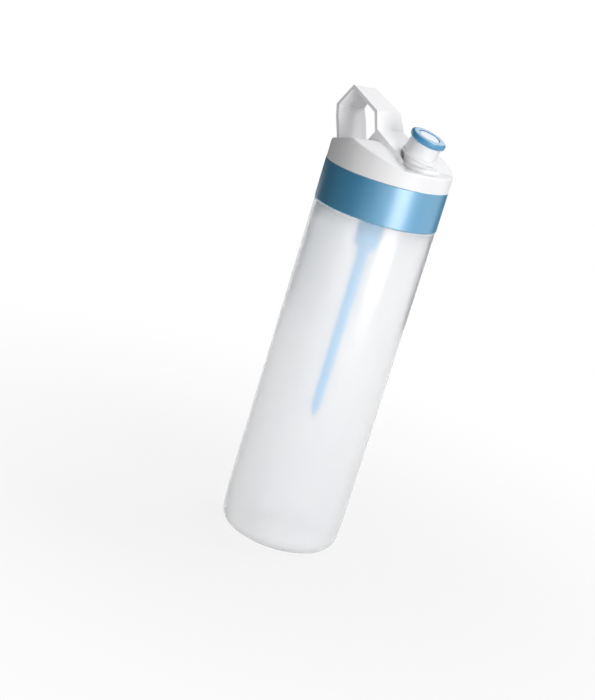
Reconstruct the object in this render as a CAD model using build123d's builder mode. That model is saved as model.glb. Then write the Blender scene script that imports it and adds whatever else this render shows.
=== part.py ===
from build123d import *
import os
from math import cos, radians, sin, tan

# Fruit infuser water bottle, in millimetres.
# The bottle stands on z = 0 with its axis on Z. +X points to the spout, -X to the carry handle.

# Fits and small gaps
running_clearance = 0.05
sliding_clearance = 0.1
body_gap = 0.3
overrun = 2.0

# Bottle
bottle_radius = 36.5
bottle_wall = 1.8
body_height = 205.6
base_taper_height = 22.0
base_taper = 1.1
base_round = 9.0
foot_ring_width = 3.0
push_up = 4.0
shoulder_round = 0.8
shoulder_drop = 7.0
neck_wall = 2.0
rim_round = 0.5

# Lid: grip band, threaded liner and roof-shaped shell
band_height = 23.6
band_overhang = 0.3
band_wall = 1.35
band_round = 0.4
skirt_wall = 1.9
thread_room = 1.5
liner_plate = 2.0
gasket_thickness = 1.5
gasket_width = 3.3
sealing_lip_wall = 1.4
sealing_lip_height = 7.5
locating_rim_wall = 1.6
locating_rim_height = 3.0
lid_set_back = 0.2
lid_wall = 1.8
lid_rise = 18.0
lid_round = 1.2
ridge_share = 0.09
ridge_round = 6.0
front_slope = 13.5
back_slope = 15.5
land_round = 14.0
dish_share = 1.75
dish_radius = 44.1
dish_slope = 23.7

# Carry handle: a flat strap loop that leans back over the rim
strap_thickness = 1.8
strap_corner = 0.9
handle_foot_width = 25.9
handle_top_width = 20.1
handle_foot_share = 0.90
handle_back_share = 1.13
handle_apex_share = 0.945
handle_brow_share = 0.328
handle_knee_share = 0.19
handle_gusset_share = 0.31
handle_back_rise = 10.6
handle_apex_rise = 24.3
handle_brow_rise = 15.5
handle_knee_rise = 5.9
handle_taper_rise = 4.0
ramp_slope = 24.3
tenon_width = 9.0
tenon_length = 6.0
tenon_depth = 3.6

# Spout: level seat in the lid, flange with a shadow gap, pedestal with a slanted top, leaning stem
spout_share = 0.557
spout_lean = 15.0
seat_depth = 8.5
pocket_radius = 13.2
flange_radius = 11.5
flange_thickness = 2.4
flange_round = 0.9
flange_gap = 0.8
flange_gap_depth = 0.6
pedestal_foot_radius = 8.7
pedestal_top_radius = 9.0
pedestal_set_back = 1.8
pedestal_roof = 1.3
spigot_radius = 7.8
spigot_bore = 5.8
port_wall = 1.5
port_height = 6.5
nozzle_set_back = 3.4
nozzle_rise = 6.4
stem_radius = 7.6
stem_bore = 6.3
roof_bore = 5.3
stem_height = 9.9
stem_bead_radius = 8.1
stem_bead = 1.0
ring_groove = 1.5
ring_groove_depth = 0.5
strainer_thickness = 1.0
strainer_ledge = 1.0
strainer_hole = 1.6
strainer_pitch = 4.0
strainer_count = 6

# Push-pull nozzle with a soft lip and the pale plug in its middle
nozzle_foot_radius = 9.75
nozzle_top_radius = 9.4
nozzle_core_radius = 8.9
nozzle_foot_bead = 1.1
nozzle_rim_radius = 10.3
nozzle_rim_height = 2.3
nozzle_rim_round = 0.7
lip_radius = 10.8
lip_start = 10.2
lip_height = 3.75
lip_top = 1.0
lip_round = 1.5
nozzle_crown = 2.4
plug_radius = 6.4
plug_thickness = 2.4
plug_recess = 0.3
plug_round = 0.5
post_radius = 1.6
rib_thickness = 1.4
rib_height = 7.0
rib_count = 3

# Infuser skewer that hangs from a socket under the lid
skewer_hub_radius = 7.5
skewer_hub_length = 19.2
skewer_neck = 4.0
skewer_rod_radius = 3.25
skewer_end_radius = 2.6
skewer_length = 128.0
skewer_tip = 6.0
skewer_tip_radius = 0.8
skewer_plug_radius = 6.0
skewer_plug_length = 13.8
skewer_ring_groove = 1.4
skewer_groove_depth = 1.1
skewer_round = 0.8
socket_wall = 2.95

# Places worked out from the sizes above
band_bottom = body_height + body_gap
band_top = band_bottom + band_height
band_radius = bottle_radius + band_overhang
lid_radius = band_radius - lid_set_back
skirt_radius = band_radius - band_wall - running_clearance
skirt_inner = skirt_radius - skirt_wall
plate_bottom = band_top - liner_plate
neck_top = plate_bottom - gasket_thickness
neck_radius = skirt_inner - thread_room
neck_bore = neck_radius - neck_wall
cavity_radius = bottle_radius - bottle_wall
gasket_outer = skirt_inner - body_gap
gasket_inner = gasket_outer - gasket_width
sealing_lip_radius = gasket_inner - body_gap

ridge_x = -ridge_share * lid_radius
ridge_z = band_top + lid_rise
seat_z = ridge_z - seat_depth
land_x = ridge_x + seat_depth / tan(radians(front_slope))
dish_x = dish_share * lid_radius
spout_x = spout_share * lid_radius
port_radius = spigot_radius + running_clearance
strainer_seat_radius = spigot_bore + strainer_ledge

socket_radius = skewer_plug_radius + running_clearance
socket_outer = socket_radius + socket_wall
socket_bottom = band_bottom + body_gap
skewer_bottom = socket_bottom - skewer_length

# The leaning axis of the spout starts in the middle of the pedestal's slanted top
spout_foot = (spout_x - nozzle_set_back, 0, seat_z + nozzle_rise)
spout_plane = Plane(
    origin=spout_foot,
    x_dir=(cos(radians(spout_lean)), 0, -sin(radians(spout_lean))),
    z_dir=(sin(radians(spout_lean)), 0, cos(radians(spout_lean))),
)
lip_end = lip_start + lip_height
plug_end = lip_end - plug_recess
plug_start = plug_end - plug_thickness
core_end = lip_end - lip_top
nozzle_bore = stem_bead_radius + sliding_clearance
nozzle_foot_bore = stem_radius + sliding_clearance
upper_bead_start = stem_height - stem_bead
groove_start = upper_bead_start - ring_groove
lower_bead_start = groove_start - stem_bead


def roof_height(x):
    """Height of the lid's back face at a place x behind the ridge."""
    return ridge_z - (ridge_x - x) * tan(radians(back_slope))


def turned(plane, bottom, top, outer, inner=0, mode=Mode.ADD):
    """Add a plain disc or tube about a plane's normal, between two heights."""
    with BuildSketch(plane.offset(bottom)) as ring_profile:
        Circle(outer)
        if inner:
            Circle(inner, mode=Mode.SUBTRACT)
    extrude(ring_profile.sketch, amount=top - bottom, mode=mode)


def roofed_block(radius, drop):
    """Add a round block with the lid's two-sided roof, level at its front end and lowered by a drop."""
    turned(Plane.XY, band_top, ridge_z, radius)
    with BuildSketch(Plane.XZ) as roof_profile:
        Polygon(
            (-radius, band_top),
            (radius, band_top),
            (radius, seat_z - drop),
            (land_x, seat_z - drop),
            (ridge_x, ridge_z - drop),
            (-radius, roof_height(-radius) - drop),
            align=None,
        )
        fillet(vertices().sort_by(Axis.Y)[-1], ridge_round)
        fillet(vertices().sort_by_distance((land_x, seat_z - drop))[0], land_round)
    extrude(roof_profile.sketch, amount=radius, both=True, mode=Mode.INTERSECT)


def dish_block(margin):
    """Cut away the wide dish round the spout, lowered and widened by a margin."""
    depth = ridge_z - seat_z + margin
    with BuildSketch(Plane((dish_x, 0, seat_z - margin))) as dish_foot:
        Circle(dish_radius + margin)
    with BuildSketch(Plane((dish_x, 0, ridge_z))) as dish_top:
        Circle(dish_radius + margin + depth / tan(radians(dish_slope)))
    loft([dish_foot.sketch.face(), dish_top.sketch.face()], mode=Mode.SUBTRACT)


def o_ring(plane, height, inner, outer):
    """Add a round-section ring between two radii, centred at a height on a plane."""
    with BuildSketch(Plane(plane.origin, x_dir=plane.x_dir, z_dir=plane.y_dir)) as section:
        with Locations(((inner + outer) / 2, -height)):
            Circle((outer - inner) / 2)
    revolve(section.sketch, axis=Axis(plane.origin, plane.z_dir))


# Bottle: a drawn-in foot with a push-up base, straight wall, flat shoulder and open neck
with BuildPart() as bottle_body:
    with BuildSketch(Plane.XZ):
        with BuildLine():
            foot_inner = bottle_radius - base_taper - base_round - foot_ring_width
            base_dome = TangentArc((0, push_up), (foot_inner, 0), tangent=(1, 0))
            Polyline(
                base_dome @ 1,
                (bottle_radius - base_taper, 0),
                (bottle_radius, base_taper_height),
                (bottle_radius, body_height),
                (neck_radius, body_height),
                (neck_radius, neck_top),
                (0, neck_top),
                (0, push_up),
            )
        make_face()
    revolve(axis=Axis.Z)
    base_corner = edges().filter_by(GeomType.CIRCLE).group_by(Axis.Z)[0].sort_by(SortBy.RADIUS)[-1]
    fillet(base_corner, base_round)
    shoulder_corner = edges().filter_by(GeomType.CIRCLE).group_by(Axis.Z)[-2].sort_by(SortBy.RADIUS)[-1]
    fillet(shoulder_corner, shoulder_round)
    with BuildSketch(Plane.XZ) as cavity_profile:
        with BuildLine():
            floor_dome = TangentArc(
                (0, push_up + bottle_wall),
                (foot_inner, bottle_wall),
                tangent=(1, 0),
            )
            Polyline(
                floor_dome @ 1,
                (cavity_radius - base_taper, bottle_wall),
                (cavity_radius, base_taper_height),
                (cavity_radius, body_height - shoulder_drop),
                (neck_bore, body_height - bottle_wall),
                (neck_bore, neck_top),
                (0, neck_top),
                (0, push_up + bottle_wall),
            )
        make_face()
        floor_corner = vertices().group_by(Axis.Y)[0].sort_by(Axis.X)[-1]
        fillet(floor_corner, base_round - bottle_wall)
    revolve(axis=Axis.Z, mode=Mode.SUBTRACT)
    fillet(edges().group_by(Axis.Z)[-1], rim_round)
bottle_body.part.label = "bottle_body"

# Gasket: flat soft ring between the neck's rim and the lid
with BuildPart() as lid_gasket:
    turned(Plane.XY, neck_top, plate_bottom, gasket_outer, gasket_inner)
lid_gasket.part.label = "lid_gasket"

# Liner: skirt, plate, sealing lip, skewer socket and the spout's port with a seat for the strainer
with BuildPart() as lid_liner:
    turned(Plane.XY, band_bottom, band_top, skirt_radius)
    turned(Plane.XY, band_bottom, plate_bottom, skirt_inner, mode=Mode.SUBTRACT)
    turned(
        Plane.XY,
        band_top,
        band_top + locating_rim_height,
        lid_radius - lid_wall - sliding_clearance,
        lid_radius - lid_wall - sliding_clearance - locating_rim_wall,
    )
    turned(
        Plane.XY,
        plate_bottom - sealing_lip_height,
        plate_bottom,
        sealing_lip_radius,
        sealing_lip_radius - sealing_lip_wall,
    )
    turned(Plane.XY, socket_bottom, plate_bottom, socket_outer)
    socket_end = socket_bottom + skewer_plug_length + body_gap
    turned(Plane.XY, socket_bottom, socket_end, socket_radius, mode=Mode.SUBTRACT)
    port_plane = Plane((spout_x, 0, 0))
    turned(port_plane, band_top, band_top + port_height, port_radius + port_wall, port_radius)
    turned(port_plane, plate_bottom, band_top, spigot_bore, mode=Mode.SUBTRACT)
    turned(
        port_plane,
        band_top - strainer_thickness,
        band_top,
        strainer_seat_radius,
        mode=Mode.SUBTRACT,
    )
lid_liner.part.label = "lid_liner"

# Strainer: small disc with seven holes that keeps the fruit out of the spout
with BuildPart() as strainer_disc:
    turned(
        port_plane,
        band_top - strainer_thickness,
        band_top,
        strainer_seat_radius - running_clearance,
    )
    with BuildSketch(port_plane.offset(band_top)):
        Circle(strainer_hole)
        with PolarLocations(strainer_pitch, strainer_count):
            Circle(strainer_hole)
    extrude(amount=-strainer_thickness, mode=Mode.SUBTRACT)
strainer_disc.part.label = "strainer_disc"

# Grip band: the coloured ring around the liner's skirt
with BuildPart() as grip_band:
    turned(Plane.XY, band_bottom, band_top, band_radius, band_radius - band_wall)
    outer_rims = edges().filter_by(GeomType.CIRCLE).group_by(SortBy.RADIUS)[-1]
    fillet(outer_rims, band_round)
grip_band.part.label = "grip_band"

# Space under the roof, without the thick pad below the dish and the spout's seat
with BuildPart() as lid_hollow:
    roofed_block(lid_radius - lid_wall, lid_wall / cos(radians(back_slope)))
    dish_block(lid_wall)
    pad_plane = Plane((spout_x, 0, 0))
    turned(
        pad_plane,
        seat_z - lid_wall,
        ridge_z,
        pocket_radius + lid_wall,
        mode=Mode.SUBTRACT,
    )

# Handle outline, from the foot behind the axis over the loop and down the ramp to the spout
knee = (-handle_knee_share * lid_radius, ridge_z + handle_knee_rise)
handle_outline = [
    (-handle_foot_share * lid_radius, band_top),
    (-handle_foot_share * lid_radius, roof_height(-handle_foot_share * lid_radius)),
    (-handle_back_share * lid_radius, ridge_z + handle_back_rise),
    (-handle_apex_share * lid_radius, ridge_z + handle_apex_rise),
    (-handle_brow_share * lid_radius, ridge_z + handle_brow_rise),
    knee,
    (spout_x, knee[1] - (spout_x - knee[0]) * tan(radians(ramp_slope))),
    (spout_x, band_top),
]
gusset_outline = [
    knee,
    (spout_x, knee[1] - (spout_x - knee[0]) * tan(radians(ramp_slope))),
    (spout_x, band_top),
    (-handle_gusset_share * lid_radius, band_top),
    (-handle_gusset_share * lid_radius, roof_height(-handle_gusset_share * lid_radius)),
]

# The handle's tenons and their slots in the roof share these stretches along X
tenon_spans = [
    (-handle_foot_share * lid_radius, -handle_foot_share * lid_radius + strap_thickness),
    (ridge_x - tenon_length / 2, ridge_x + tenon_length / 2),
]


def tenon_blocks(clearance):
    """Cut away the space of the two tenons, widened by a clearance."""
    for start, end in tenon_spans:
        with BuildSketch(Plane.XY.offset(roof_height(start) - tenon_depth)) as footprint:
            with Locations(((start + end) / 2, 0)):
                Rectangle(end - start + 2 * clearance, tenon_width + 2 * clearance)
        extrude(footprint.sketch, amount=lid_rise, mode=Mode.SUBTRACT)


# Outer form of the lid: a round block with two sloping faces, a soft rim and a dish round the spout
with BuildPart() as lid_form:
    roofed_block(lid_radius, 0)
    rim_edges = faces().filter_by(GeomType.CYLINDER).edges().filter_by(
        lambda edge: edge.center().Z > band_top + overrun and edge.geom_type != GeomType.LINE
    )
    fillet(rim_edges, lid_round)
    dish_block(0)

# Lid shell: hollow roof-shaped cap with a level spout seat and handle slots
with BuildPart() as lid_shell:
    add(lid_form.part)
    add(lid_hollow.part, mode=Mode.SUBTRACT)
    seat_plane = Plane((spout_x, 0, 0))
    turned(seat_plane, seat_z, ridge_z, pocket_radius, mode=Mode.SUBTRACT)
    turned(
        seat_plane,
        band_top,
        seat_z,
        spigot_radius + sliding_clearance,
        mode=Mode.SUBTRACT,
    )
    tenon_blocks(sliding_clearance)
lid_shell.part.label = "lid_shell"

# The lid's form without the tenons, cut from the underside of the handle
with BuildPart() as under_handle:
    add(lid_form.part)
    tenon_blocks(0)

# Carry handle: strap loop with a solid gusset and ramp before it
with BuildPart() as carry_handle:
    with BuildSketch(Plane.XZ):
        Polygon(*handle_outline, align=None)
        corners = vertices().filter_by(lambda corner: corner.Y > ridge_z)
        fillet(corners, strap_corner)
        offset(amount=-strap_thickness, kind=Kind.INTERSECTION, mode=Mode.SUBTRACT)
        Polygon(*gusset_outline, align=None)
    extrude(amount=handle_foot_width / 2, both=True)
    add(under_handle.part, mode=Mode.SUBTRACT)
    with BuildSketch(Plane.YZ):
        Polygon(
            (-handle_foot_width / 2, band_top),
            (handle_foot_width / 2, band_top),
            (handle_foot_width / 2, ridge_z + handle_taper_rise),
            (handle_top_width / 2, ridge_z + handle_apex_rise),
            (-handle_top_width / 2, ridge_z + handle_apex_rise),
            (-handle_foot_width / 2, ridge_z + handle_taper_rise),
            align=None,
        )
    extrude(amount=handle_back_share * lid_radius + overrun, both=True, mode=Mode.INTERSECT)
    turned(Plane((spout_x, 0, 0)), band_top, knee[1], pocket_radius, mode=Mode.SUBTRACT)
carry_handle.part.label = "carry_handle"

# Water channel inside the spout's pedestal, closed by a slanted roof
with BuildPart() as spout_channel:
    turned(Plane((spout_x, 0, 0)), band_top, ridge_z, spigot_bore)
    split(bisect_by=spout_plane.offset(-pedestal_roof), keep=Keep.BOTTOM)

# Spout base: level flange, spigot, pedestal and leaning stem with two beads and a ring groove
with BuildPart() as spout_base:
    spigot_bottom = band_top + body_gap
    flange_top = seat_z + flange_thickness
    turned(Plane((spout_x, 0, 0)), seat_z, flange_top, flange_radius)
    fillet(edges().group_by(Axis.Z)[-1], flange_round)
    turned(
        Plane((spout_x, 0, 0)),
        seat_z,
        seat_z + flange_gap,
        flange_radius,
        flange_radius - flange_gap_depth,
        mode=Mode.SUBTRACT,
    )
    turned(Plane((spout_x, 0, 0)), spigot_bottom, seat_z, spigot_radius)
    with BuildSketch(Plane((spout_x - pedestal_set_back, 0, flange_top))) as pedestal_foot:
        Circle(pedestal_foot_radius)
    with BuildSketch(spout_plane) as pedestal_top:
        Circle(pedestal_top_radius)
    loft([pedestal_foot.sketch.face(), pedestal_top.sketch.face()])
    turned(spout_plane, 0, stem_height, stem_radius)
    turned(spout_plane, upper_bead_start, stem_height, stem_bead_radius)
    turned(spout_plane, lower_bead_start, groove_start, stem_bead_radius)
    turned(
        spout_plane,
        groove_start,
        upper_bead_start,
        stem_radius,
        stem_radius - ring_groove_depth,
        mode=Mode.SUBTRACT,
    )
    turned(spout_plane, 0, stem_height, stem_bore, mode=Mode.SUBTRACT)
    turned(spout_plane, -pedestal_roof - overrun, 0, roof_bore, mode=Mode.SUBTRACT)
    add(spout_channel.part, mode=Mode.SUBTRACT)
spout_base.part.label = "spout_base"

# Spout plug: pale disc that closes the nozzle, on a post whose three ribs stand on the stem's ledge
with BuildPart() as spout_plug:
    turned(spout_plane, plug_start, plug_end, plug_radius)
    top_rim = edges().filter_by(GeomType.CIRCLE).sort_by(Axis(spout_foot, spout_plane.z_dir))[-1]
    fillet(top_rim, plug_round)
    turned(spout_plane, 0, plug_start, post_radius)
    with BuildSketch(spout_plane) as rib_profile:
        with PolarLocations(stem_bore / 2, rib_count):
            Rectangle(stem_bore, rib_thickness)
        Circle(stem_bore - running_clearance, mode=Mode.INTERSECT)
    extrude(rib_profile.sketch, amount=rib_height)
spout_plug.part.label = "spout_plug"

# Seal ring on the stem, in the groove between its two beads
with BuildPart() as spout_o_ring:
    o_ring(
        spout_plane,
        groove_start + ring_groove / 2,
        stem_radius - ring_groove_depth + running_clearance / 2,
        nozzle_bore - running_clearance / 2,
    )
spout_o_ring.part.label = "spout_o_ring"

# Nozzle: sliding cone with a finger rim, an inner foot bead and a crown around the plug
with BuildPart() as nozzle:
    turned(spout_plane, 0, nozzle_rim_height, nozzle_rim_radius)
    fillet(edges().filter_by(GeomType.CIRCLE), nozzle_rim_round)
    with BuildSketch(spout_plane) as nozzle_foot:
        Circle(nozzle_foot_radius)
    with BuildSketch(spout_plane.offset(lip_start)) as nozzle_top:
        Circle(nozzle_top_radius)
    loft([nozzle_foot.sketch.face(), nozzle_top.sketch.face()])
    turned(spout_plane, lip_start, core_end, nozzle_core_radius)
    turned(spout_plane, 0, nozzle_foot_bead, nozzle_foot_bore, mode=Mode.SUBTRACT)
    turned(
        spout_plane,
        nozzle_foot_bead,
        core_end - nozzle_crown,
        nozzle_bore,
        mode=Mode.SUBTRACT,
    )
    turned(
        spout_plane,
        core_end - nozzle_crown,
        core_end,
        plug_radius + sliding_clearance,
        mode=Mode.SUBTRACT,
    )
nozzle.part.label = "nozzle"

# Nozzle lip: soft coloured cap ring around the nozzle's core
with BuildPart() as nozzle_lip:
    turned(spout_plane, lip_start, lip_end, lip_radius)
    fillet(edges().filter_by(GeomType.CIRCLE), lip_round)
    turned(spout_plane, lip_start, core_end, nozzle_core_radius, mode=Mode.SUBTRACT)
    turned(
        spout_plane,
        core_end,
        lip_end,
        plug_radius + body_gap,
        mode=Mode.SUBTRACT,
    )
nozzle_lip.part.label = "nozzle_lip"

# Infuser skewer: plug, hub, drawn-in neck and long pointed rod
with BuildPart() as infuser_skewer:
    ring_seat = socket_bottom + skewer_plug_length / 2
    with BuildSketch(Plane.XZ):
        Polygon(
            (0, skewer_bottom),
            (skewer_tip_radius, skewer_bottom),
            (skewer_end_radius, skewer_bottom + skewer_tip),
            (skewer_rod_radius, socket_bottom - skewer_hub_length - skewer_neck),
            (skewer_hub_radius, socket_bottom - skewer_hub_length),
            (skewer_hub_radius, socket_bottom),
            (skewer_plug_radius, socket_bottom),
            (skewer_plug_radius, ring_seat - skewer_ring_groove / 2),
            (skewer_plug_radius - skewer_groove_depth, ring_seat - skewer_ring_groove / 2),
            (skewer_plug_radius - skewer_groove_depth, ring_seat + skewer_ring_groove / 2),
            (skewer_plug_radius, ring_seat + skewer_ring_groove / 2),
            (skewer_plug_radius, socket_bottom + skewer_plug_length),
            (0, socket_bottom + skewer_plug_length),
            align=None,
        )
    revolve(axis=Axis.Z)
    hub_rims = edges().filter_by(GeomType.CIRCLE).group_by(SortBy.RADIUS)[-1]
    fillet(hub_rims, skewer_round)
infuser_skewer.part.label = "infuser_skewer"

# Seal ring that holds the skewer's plug in the socket
with BuildPart() as skewer_o_ring:
    o_ring(
        Plane.XY,
        ring_seat,
        skewer_plug_radius - skewer_groove_depth + running_clearance / 2,
        socket_radius - running_clearance / 2,
    )
skewer_o_ring.part.label = "skewer_o_ring"

os.makedirs("parts", exist_ok=True)
for piece in (
    bottle_body,
    lid_gasket,
    lid_liner,
    strainer_disc,
    grip_band,
    lid_shell,
    carry_handle,
    spout_base,
    spout_plug,
    spout_o_ring,
    nozzle,
    nozzle_lip,
    infuser_skewer,
    skewer_o_ring,
):
    export_step(piece.part, f"parts/{piece.part.label}.step")
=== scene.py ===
import math

import bpy
from mathutils import Matrix, Vector


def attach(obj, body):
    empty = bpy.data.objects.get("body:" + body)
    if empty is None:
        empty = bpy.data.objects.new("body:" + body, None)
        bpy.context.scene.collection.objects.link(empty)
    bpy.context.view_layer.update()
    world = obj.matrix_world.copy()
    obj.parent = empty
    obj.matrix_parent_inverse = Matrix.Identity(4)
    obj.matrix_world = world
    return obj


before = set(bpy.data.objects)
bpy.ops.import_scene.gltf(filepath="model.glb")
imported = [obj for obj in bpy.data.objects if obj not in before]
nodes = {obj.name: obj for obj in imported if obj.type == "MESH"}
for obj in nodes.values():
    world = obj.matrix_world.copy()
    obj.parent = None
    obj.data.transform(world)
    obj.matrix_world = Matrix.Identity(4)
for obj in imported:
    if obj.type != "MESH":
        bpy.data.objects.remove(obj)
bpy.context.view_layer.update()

MM = 0.001


# Colours, nodes and objects

def linear(hex_colour):
    """Turn an sRGB hex colour such as "#4f9cc6" into linear red, green, blue and an alpha of 1."""
    channels = [int(hex_colour[i:i + 2], 16) / 255 for i in (1, 3, 5)]
    return (*[c / 12.92 if c <= 0.04045 else ((c + 0.055) / 1.055) ** 2.4 for c in channels], 1.0)


def add_node(tree, kind, settings=None, links=None):
    """Add a node to a tree, set its properties and input values, and link its inputs from other sockets."""
    node = tree.nodes.new(kind)
    for name, value in (settings or {}).items():
        if isinstance(name, str) and hasattr(node, name):
            setattr(node, name, value)
        else:
            node.inputs[name].default_value = value
    for name, source in (links or {}).items():
        tree.links.new(source, node.inputs[name])
    return node


def new_material(name):
    """Start a node material with nothing but its output, and return it with its tree and output node."""
    material = bpy.data.materials.new(name)
    material.use_nodes = True
    material.node_tree.nodes.clear()
    output = add_node(material.node_tree, "ShaderNodeOutputMaterial")
    return material, material.node_tree, output


def new_object(name, data):
    """Add an object with this mesh, lamp or camera to the scene."""
    thing = bpy.data.objects.new(name, data)
    bpy.context.scene.collection.objects.link(thing)
    return thing


def round_the_axis(azimuth, distance, height):
    """The point at an azimuth in degrees from +X, a distance from the bottle's axis and a height."""
    angle = math.radians(azimuth)
    return (distance * math.cos(angle), distance * math.sin(angle), height)


# Plastics

# Each pattern is a noise whose middle is 0.5, and it acts between a low and a high level
CLOUD_DETAIL = 3.0
CLOUD_LOW = 0.35
CLOUD_HIGH = 0.68
GRAIN_DETAIL = 2.0
GRAIN_RAGGEDNESS = 0.6
GRAIN_LOW = 0.25
GRAIN_HIGH = 0.75


def moulded_plastic(
    name,
    colour,
    cloud_colour,
    roughness,
    grain_mm,
    grain_depth_mm,
    finish,
    cloud_mm=18.0,
    cloud_squeeze=0.45,
    cloud_raggedness=0.55,
    smoothest=0.86,
    roughest=1.16,
):
    """A moulded part: faint clouds in its pigment, grain from the mould's steel, and gloss that follows it.

    finish holds the shader's values that are the same all over the part.
    """
    material, tree, output = new_material(name)
    place = add_node(tree, "ShaderNodeTexCoord").outputs["Object"]
    # Pigment clouds, as wide as the melt's flow lines, drawn out along the height
    drawn_out = add_node(
        tree, "ShaderNodeMapping", {"Scale": (1.0, 1.0, cloud_squeeze)}, {"Vector": place}
    ).outputs["Vector"]
    cloud = add_node(
        tree,
        "ShaderNodeTexNoise",
        {"Scale": 1 / (cloud_mm * MM), "Detail": CLOUD_DETAIL, "Roughness": cloud_raggedness},
        {"Vector": drawn_out},
    ).outputs["Fac"]
    cloud_share = add_node(
        tree, "ShaderNodeMapRange", {"From Min": CLOUD_LOW, "From Max": CLOUD_HIGH}, {"Value": cloud}
    ).outputs["Result"]
    pigment = add_node(
        tree,
        "ShaderNodeMix",
        {"data_type": "RGBA", 6: linear(colour), 7: linear(cloud_colour)},
        {"Factor": cloud_share},
    ).outputs[2]
    # The grain of spark-eroded or etched steel is about 0.1 mm wide. It is drawn about 1 mm wide, because a
    # finer one is narrower than a pixel, which is 0.55 mm from the photograph's place, and only speckles
    grain = add_node(
        tree,
        "ShaderNodeTexNoise",
        {"Scale": 1 / (grain_mm * MM), "Detail": GRAIN_DETAIL, "Roughness": GRAIN_RAGGEDNESS},
        {"Vector": place},
    ).outputs["Fac"]
    gloss = add_node(
        tree,
        "ShaderNodeMapRange",
        {
            "From Min": GRAIN_LOW,
            "From Max": GRAIN_HIGH,
            "To Min": roughness * smoothest,
            "To Max": roughness * roughest,
        },
        {"Value": grain},
    ).outputs["Result"]
    relief = add_node(
        tree, "ShaderNodeBump", {"Strength": 1.0, "Distance": grain_depth_mm * MM}, {"Height": grain}
    ).outputs["Normal"]
    shader = add_node(
        tree,
        "ShaderNodeBsdfPrincipled",
        finish,
        {"Base Color": pigment, "Roughness": gloss, "Normal": relief},
    )
    tree.links.new(shader.outputs["BSDF"], output.inputs["Surface"])
    return material


PLAIN_RESIN = {"IOR": 1.49}

# The bottle's wall: polypropylene moulded against an etched steel, so it is milky, blurs what is inside and
# carries one soft highlight. Its IOR is matched to the photograph, in which the wall hardly bends the light
bottle_frosted = moulded_plastic(
    "polypropylene_frosted_moulded",
    "#ffffff",
    "#fafbfd",
    roughness=0.31,
    grain_mm=0.9,
    grain_depth_mm=0.004,
    finish={"IOR": 1.15, "Transmission Weight": 0.77, "Coat Weight": 1.0, "Coat Roughness": 0.17},
    cloud_mm=30.0,
    cloud_squeeze=0.3,
    cloud_raggedness=0.5,
    smoothest=0.9,
    roughest=1.12,
)
# The grip band: ABS under a blue metallic lacquer, which turns dark where it mirrors the dark side of the
# room. The lacquer's high IOR is matched to how much darker that side is in the photograph
band_blue = moulded_plastic(
    "abs_blue_metallic_lacquer",
    "#358eb9",
    "#3a93be",
    roughness=0.5,
    grain_mm=1.2,
    grain_depth_mm=0.002,
    finish={"IOR": 1.49, "Metallic": 0.22, "Coat Weight": 1.0, "Coat Roughness": 0.33, "Coat IOR": 2.15},
)
# Lid and handle: white polypropylene with a spark-eroded satin, so the highlights on its faces stay soft
lid_white = moulded_plastic(
    "polypropylene_white_satin",
    "#f3f3f4",
    "#eeeef0",
    roughness=0.42,
    grain_mm=0.9,
    grain_depth_mm=0.005,
    finish=PLAIN_RESIN,
)
# Nozzle and spout base: the same resin from a smoother mould, so they shine a little more than the lid
spout_white = moulded_plastic(
    "polypropylene_white_smooth",
    "#f2f2f3",
    "#eeeef0",
    roughness=0.34,
    grain_mm=1.0,
    grain_depth_mm=0.003,
    finish=PLAIN_RESIN,
)
# The disc in the mouthpiece: a smooth bluish white polypropylene that catches the light from above
plug_pale = moulded_plastic(
    "polypropylene_pale_blue_smooth",
    "#e6ecf5",
    "#e0e8f3",
    roughness=0.3,
    grain_mm=1.0,
    grain_depth_mm=0.001,
    finish=PLAIN_RESIN,
)
# The mouthpiece: soft thermoplastic rubber, blue with a moist shine
lip_blue = moulded_plastic(
    "thermoplastic_rubber_blue",
    "#4691be",
    "#4b96c3",
    roughness=0.36,
    grain_mm=0.9,
    grain_depth_mm=0.003,
    finish={"IOR": 1.45, "Coat Weight": 0.7, "Coat Roughness": 0.2},
)
# The skewer: light blue polypropylene, plain from the mould, which shows as a soft blue line in the body
skewer_blue = moulded_plastic(
    "polypropylene_light_blue_moulded",
    "#70c8fe",
    "#79ccff",
    roughness=0.38,
    grain_mm=0.9,
    grain_depth_mm=0.004,
    finish=PLAIN_RESIN,
)
# The liner and the strainer under the lid: plain white polypropylene, duller and greyer than the lid
liner_white = moulded_plastic(
    "polypropylene_white_plain",
    "#e9eaec",
    "#e3e5e8",
    roughness=0.48,
    grain_mm=0.9,
    grain_depth_mm=0.005,
    finish=PLAIN_RESIN,
)
# Seals: silicone, cloudy and slightly bluish
seal_silicone = moulded_plastic(
    "silicone_rubber_clear_moulded",
    "#d3dbe0",
    "#c9d3da",
    roughness=0.45,
    grain_mm=0.9,
    grain_depth_mm=0.003,
    finish={"IOR": 1.41},
)

NODE_MATERIALS = {
    "bottle_body": bottle_frosted,
    "lid_gasket": seal_silicone,
    "lid_liner": liner_white,
    "strainer_disc": liner_white,
    "grip_band": band_blue,
    "lid_shell": lid_white,
    "carry_handle": lid_white,
    "spout_base": spout_white,
    "spout_plug": plug_pale,
    "spout_o_ring": seal_silicone,
    "nozzle": spout_white,
    "nozzle_lip": lip_blue,
    "infuser_skewer": skewer_blue,
    "skewer_o_ring": seal_silicone,
}
for node_name, material in NODE_MATERIALS.items():
    nodes[node_name].material_slots[0].material = material


# Screw thread between the bottle's neck and the lid's skirt

THREAD_PITCH = 4.0 * MM
THREAD_TURNS = 1.5
THREAD_DEPTH = 1.1 * MM
THREAD_ROOT = 2.0 * MM
THREAD_CREST = 1.0 * MM
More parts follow.
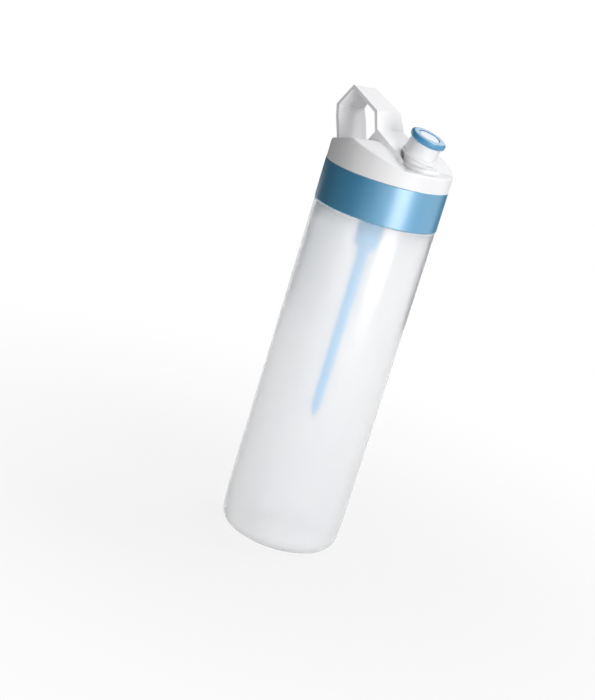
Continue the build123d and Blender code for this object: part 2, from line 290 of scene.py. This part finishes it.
# At each end the ridge fades over this share of its length, down to this share of its section
THREAD_RUN_OUT = 0.09
THREAD_TIP = 0.15
THREAD_STEPS_PER_TURN = 96
NECK_RADIUS = 32.0 * MM
SKIRT_RADIUS = 33.5 * MM
NECK_THREAD_START = 214.0 * MM
SKIRT_THREAD_START = NECK_THREAD_START - THREAD_PITCH / 2
ROOT_SINK = 0.1 * MM
STANDS_OUTWARDS = 1.0
STANDS_INWARDS = -1.0

THREAD_INPUTS = (
    "Radius",
    "Start Height",
    "Pitch",
    "Turns",
    "Root Width",
    "Crest Width",
    "Depth",
    "Root Side",
    "Run Out",
)


def thread_tree():
    """A ridge with sloping flanks that climbs round the Z axis and runs out at both ends."""
    tree = bpy.data.node_groups.new("screw_thread", "GeometryNodeTree")
    face = tree.interface
    for name in THREAD_INPUTS:
        face.new_socket(name, in_out="INPUT", socket_type="NodeSocketFloat")
    face.new_socket("Material", in_out="INPUT", socket_type="NodeSocketMaterial")
    face.new_socket("Geometry", in_out="OUTPUT", socket_type="NodeSocketGeometry")
    given = add_node(tree, "NodeGroupInput").outputs
    climb = add_node(
        tree, "ShaderNodeMath", {"operation": "MULTIPLY"}, {0: given["Pitch"], 1: given["Turns"]}
    ).outputs[0]
    helix = add_node(
        tree,
        "GeometryNodeCurveSpiral",
        {"Resolution": THREAD_STEPS_PER_TURN},
        {
            "Rotations": given["Turns"],
            "Start Radius": given["Radius"],
            "End Radius": given["Radius"],
            "Height": climb,
        },
    ).outputs["Curve"]
    upright = add_node(
        tree, "GeometryNodeSetCurveNormal", {"mode": "Z_UP"}, {"Curve": helix}
    ).outputs["Curve"]
    # The section's size along the helix, from its tip at one end to its tip at the other
    along = add_node(tree, "GeometryNodeSplineParameter").outputs["Factor"]
    from_end = add_node(tree, "ShaderNodeMath", {"operation": "SUBTRACT", 0: 1.0}, {1: along}).outputs[0]
    nearest = add_node(
        tree, "ShaderNodeMath", {"operation": "MINIMUM"}, {0: along, 1: from_end}
    ).outputs[0]
    fullness = add_node(
        tree,
        "ShaderNodeMapRange",
        {"interpolation_type": "SMOOTHSTEP", "To Min": THREAD_TIP, "To Max": 1.0},
        {"Value": nearest, "From Max": given["Run Out"]},
    ).outputs["Result"]
    # The section's own X axis points at the bottle's axis, so a step outwards is negative
    half_depth = add_node(
        tree, "ShaderNodeMath", {"operation": "MULTIPLY", 1: -0.5}, {0: given["Depth"]}
    ).outputs[0]
    shift = add_node(
        tree, "ShaderNodeMath", {"operation": "MULTIPLY"}, {0: half_depth, 1: given["Root Side"]}
    ).outputs[0]
    offset = add_node(tree, "ShaderNodeCombineXYZ", links={0: shift}).outputs[0]
    quarter_turn = add_node(
        tree, "ShaderNodeMath", {"operation": "MULTIPLY", 1: math.pi / 2}, {0: given["Root Side"]}
    ).outputs[0]
    turn = add_node(tree, "ShaderNodeCombineXYZ", links={2: quarter_turn}).outputs[0]
    flank = add_node(
        tree,
        "GeometryNodeCurvePrimitiveQuadrilateral",
        {"mode": "TRAPEZOID", "Offset": 0.0},
        {"Bottom Width": given["Root Width"], "Top Width": given["Crest Width"], "Height": given["Depth"]},
    ).outputs["Curve"]
    section = add_node(
        tree,
        "GeometryNodeTransform",
        links={"Geometry": flank, "Translation": offset, "Rotation": turn},
    ).outputs["Geometry"]
    ridge = add_node(
        tree,
        "GeometryNodeCurveToMesh",
        {"Fill Caps": True},
        {"Curve": upright, "Profile Curve": section, "Scale": fullness},
    ).outputs["Mesh"]
    lift = add_node(tree, "ShaderNodeCombineXYZ", links={2: given["Start Height"]}).outputs[0]
    raised = add_node(
        tree, "GeometryNodeTransform", links={"Geometry": ridge, "Translation": lift}
    ).outputs["Geometry"]
    made = add_node(
        tree, "GeometryNodeRealizeInstances", links={"Geometry": raised}
    ).outputs["Geometry"]
    finished = add_node(
        tree, "GeometryNodeSetMaterial", links={"Geometry": made, "Material": given["Material"]}
    ).outputs["Geometry"]
    add_node(tree, "NodeGroupOutput", links={"Geometry": finished})
    return tree


def baked(name, tree, values):
    """Run a geometry tree on an empty object and keep its result as a plain mesh object."""
    carrier = new_object(name + "_carrier", bpy.data.meshes.new(name + "_carrier"))
    modifier = carrier.modifiers.new("tree", "NODES")
    modifier.node_group = tree
    for item in tree.interface.items_tree:
        if item.in_out == "INPUT":
            modifier[item.identifier] = values[item.name]
    result = bpy.data.meshes.new_from_object(carrier.evaluated_get(bpy.context.evaluated_depsgraph_get()))
    bpy.data.objects.remove(carrier)
    return new_object(name, result)


thread = thread_tree()
thread_sizes = {
    "Pitch": THREAD_PITCH,
    "Turns": THREAD_TURNS,
    "Root Width": THREAD_ROOT,
    "Crest Width": THREAD_CREST,
    "Depth": THREAD_DEPTH,
    "Run Out": THREAD_RUN_OUT,
}
neck_thread = baked(
    "neck_thread",
    thread,
    {
        **thread_sizes,
        "Radius": NECK_RADIUS - ROOT_SINK,
        "Start Height": NECK_THREAD_START,
        "Root Side": STANDS_OUTWARDS,
        "Material": bottle_frosted,
    },
)
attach(neck_thread, "bottle")
skirt_thread = baked(
    "skirt_thread",
    thread,
    {
        **thread_sizes,
        "Radius": SKIRT_RADIUS + ROOT_SINK,
        "Start Height": SKIRT_THREAD_START,
        "Root Side": STANDS_INWARDS,
        "Material": liner_white,
    },
)
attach(skirt_thread, "lid")


# Floor

FLOOR_HALF = 6.0
FLOOR_CORNERS = ((-1, -1), (1, -1), (1, 1), (-1, 1))
# Under the bottle this share of the floor is lit, and so takes its shadow. It fades to none at the reach
SHADOW_SHARE = 0.16
SHADOW_REACH = 0.45


def seen_directly(tree):
    """1 for rays from the camera or by way of a shiny or clear surface, 0 for light that falls on things."""
    path = add_node(tree, "ShaderNodeLightPath").outputs
    shiny = add_node(
        tree,
        "ShaderNodeMath",
        {"operation": "MAXIMUM"},
        {0: path["Is Glossy Ray"], 1: path["Is Transmission Ray"]},
    ).outputs[0]
    return add_node(
        tree, "ShaderNodeMath", {"operation": "MAXIMUM"}, {0: path["Is Camera Ray"], 1: shiny}
    ).outputs[0]


# Matt white card whose own glow lifts it to white, while the bottle's soft shadow stays on it
floor_card, floor_nodes, floor_output = new_material("floor_card_matt_white")
matt = add_node(floor_nodes, "ShaderNodeBsdfDiffuse", {"Color": linear("#bfbfbf")})
glow = add_node(floor_nodes, "ShaderNodeEmission", {"Color": linear("#ffffff"), "Strength": 1.0})
floor_place = add_node(floor_nodes, "ShaderNodeTexCoord").outputs["Object"]
away = add_node(floor_nodes, "ShaderNodeVectorMath", {"operation": "LENGTH"}, {0: floor_place})
glow_share = add_node(
    floor_nodes,
    "ShaderNodeMapRange",
    {"interpolation_type": "SMOOTHSTEP", "From Max": SHADOW_REACH, "To Min": 1 - SHADOW_SHARE, "To Max": 1.0},
    {"Value": away.outputs["Value"]},
).outputs["Result"]
glow_seen = add_node(
    floor_nodes, "ShaderNodeMath", {"operation": "MULTIPLY"}, {0: glow_share, 1: seen_directly(floor_nodes)}
)
mixed = add_node(
    floor_nodes,
    "ShaderNodeMixShader",
    links={0: glow_seen.outputs[0], 1: matt.outputs[0], 2: glow.outputs[0]},
)
floor_nodes.links.new(mixed.outputs[0], floor_output.inputs["Surface"])

floor_mesh = bpy.data.meshes.new("floor")
floor_mesh.from_pydata([(x * FLOOR_HALF, y * FLOOR_HALF, 0.0) for x, y in FLOOR_CORNERS], [], [(0, 1, 2, 3)])
floor_mesh.materials.append(floor_card)
floor = new_object("floor", floor_mesh)


# World: white where it is seen, a soft grey where it lights

SKY_LEVEL = 0.30
world = bpy.data.worlds.new("studio")
bpy.context.scene.world = world
world.use_nodes = True
sky = world.node_tree
sky.nodes.clear()
level = add_node(
    sky, "ShaderNodeMapRange", {"To Min": SKY_LEVEL, "To Max": 1.0}, {"Value": seen_directly(sky)}
)
room = add_node(
    sky, "ShaderNodeBackground", {"Color": linear("#ffffff")}, {"Strength": level.outputs["Result"]}
)
add_node(sky, "ShaderNodeOutputWorld", links={"Surface": room.outputs[0]})


# Lamps

BODY_MIDDLE = 0.13


def soft_box(name, azimuth, distance, height, width, tall, watts, aim_height=BODY_MIDDLE, in_gloss=True):
    """A flat soft lamp that faces the bottle's axis. Glossy surfaces mirror it unless in_gloss is False."""
    lamp = bpy.data.lights.new(name, "AREA")
    lamp.shape = "RECTANGLE"
    lamp.size = width
    lamp.size_y = tall
    lamp.energy = watts
    thing = new_object(name, lamp)
    thing.location = round_the_axis(azimuth, distance, height)
    thing.rotation_mode = "QUATERNION"
    thing.rotation_quaternion = (Vector((0.0, 0.0, aim_height)) - thing.location).to_track_quat("-Z", "Y")
    thing.visible_camera = False
    thing.visible_glossy = in_gloss


# The lamp that draws the bright streak on the body and the band
soft_box(
    "key_right", azimuth=-14, distance=0.75, height=0.30, width=0.36, tall=0.58, watts=3.4, aim_height=0.30
)
# A weak light from the camera's side, without a streak of its own
soft_box(
    "fill_front", azimuth=-54, distance=1.0, height=0.50, width=0.5, tall=0.5, watts=1.5, in_gloss=False
)
# Light from above on the roof, the handle's brow and the disc
soft_box(
    "top_back", azimuth=66, distance=0.46, height=1.05, width=0.3, tall=0.3, watts=3.8, aim_height=0.25
)
# Light from behind that glows through the milky wall
soft_box("back_right", azimuth=100, distance=1.2, height=0.5, width=0.8, tall=0.8, watts=1.8)


# Dark cards

CARD_STEPS = 12

dark_card, dark_nodes, dark_output = new_material("flank_card_matt_dark_grey")
felt = add_node(dark_nodes, "ShaderNodeBsdfDiffuse", {"Color": linear("#2c2e33")})
dark_nodes.links.new(felt.outputs[0], dark_output.inputs["Surface"])


def reflector(name, first_azimuth, last_azimuth, distance, low, high):
    """An upright curved card beside the bottle, which shows in its glossy flanks and not in the picture."""
    points = []
    for i in range(CARD_STEPS + 1):
        azimuth = first_azimuth + (last_azimuth - first_azimuth) * i / CARD_STEPS
        points += [round_the_axis(azimuth, distance, height) for height in (low, high)]
    mesh = bpy.data.meshes.new(name)
    mesh.from_pydata(points, [], [(2 * i, 2 * i + 2, 2 * i + 3, 2 * i + 1) for i in range(CARD_STEPS)])
    mesh.materials.append(dark_card)
    thing = new_object(name, mesh)
    thing.visible_camera = False
    thing.visible_diffuse = False
    thing.visible_transmission = False
    thing.visible_shadow = False


# Two cards, one at each flank, draw the bottle's edges against the white room
reflector("card_left", first_azimuth=-86, last_azimuth=-190, distance=0.55, low=0.02, high=0.62)
reflector("card_right", first_azimuth=75, last_azimuth=106, distance=0.55, low=0.02, high=0.62)
# A third starts above the height at which the body would mirror it, so it only darkens the band and the lip
reflector("card_band", first_azimuth=-62, last_azimuth=-232, distance=0.56, low=0.125, high=1.0)


# Camera, fitted to the bottle's axis and rims in the photograph

FOCAL_MM = 86.45
SENSOR_MM = 36.0
CLIP_NEAR = 0.05
CLIP_FAR = 50.0
CAMERA_PLACE = Vector((574.9, -775.0, 369.7)) * MM
CAMERA_FORWARD = Vector((-0.5918, 0.7641, -0.2565)).normalized()
CAMERA_ROLL = math.radians(-16.96)

across = CAMERA_FORWARD.cross(Vector((0, 0, 1))).normalized()
upward = across.cross(CAMERA_FORWARD)
camera_right = across * math.cos(CAMERA_ROLL) - upward * math.sin(CAMERA_ROLL)
camera_up = across * math.sin(CAMERA_ROLL) + upward * math.cos(CAMERA_ROLL)
lens = bpy.data.cameras.new("camera")
lens.lens = FOCAL_MM
lens.sensor_width = SENSOR_MM
lens.clip_start = CLIP_NEAR
lens.clip_end = CLIP_FAR
camera = new_object("camera", lens)
turn = Matrix((camera_right, camera_up, -CAMERA_FORWARD)).transposed().to_4x4()
camera.matrix_world = Matrix.Translation(CAMERA_PLACE) @ turn
bpy.context.scene.camera = camera

bpy.context.scene.view_settings.view_transform = "Standard"

bpy.context.view_layer.update()
